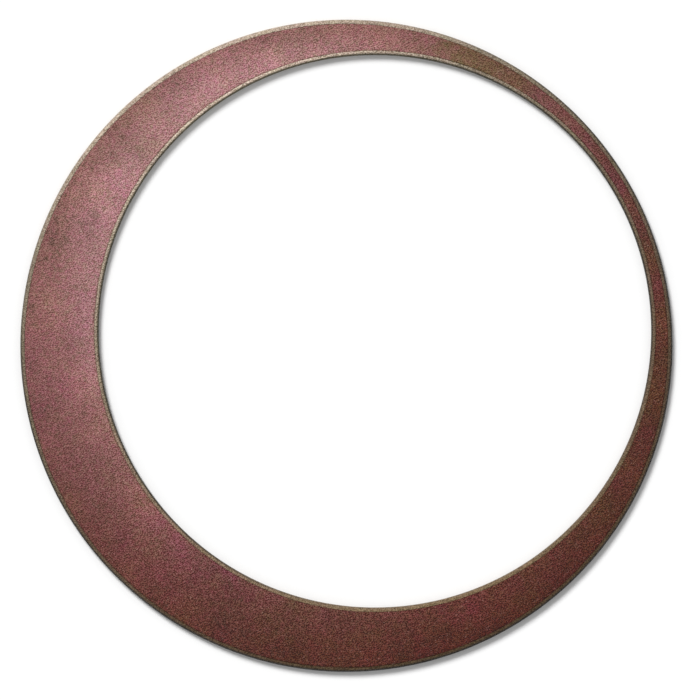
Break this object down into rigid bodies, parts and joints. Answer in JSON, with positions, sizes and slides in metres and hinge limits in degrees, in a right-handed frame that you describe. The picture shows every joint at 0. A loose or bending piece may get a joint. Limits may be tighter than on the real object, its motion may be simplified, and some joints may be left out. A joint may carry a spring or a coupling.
{
  "type": "juggling ring",
  "caption": "Flat juggling ring with its opening set off centre: a stiff core faced with grained leather on both sides and bound with a folded leather strip at each edge.",
  "frame": {"origin": "centre of the outer circle, on the plane the ring lies on", "axes": "+Z along the ring's axis out of the front face, +X towards the band's narrowest place, +Y completes the right-handed frame"},
  "size_m": [0.32, 0.32, 0.0055],
  "materials": {
    "core_plastic": "plain satin sheet, hidden inside",
    "contact_adhesive": "thin dried contact adhesive, hidden inside",
    "facing_leather": "fine-grained dusty maroon leather with an uneven brown and olive patina",
    "binding_leather": "fine-grained khaki leather strip, lighter along its crest"
  },
  "bodies": {
    "root": {"core_ring": "core_plastic", "back_glue_film": "contact_adhesive", "front_glue_film": "contact_adhesive", "back_facing": "facing_leather", "front_facing": "facing_leather", "outer_edge_binding": "binding_leather", "inner_edge_binding": "binding_leather"}
  },
  "joints": []
}
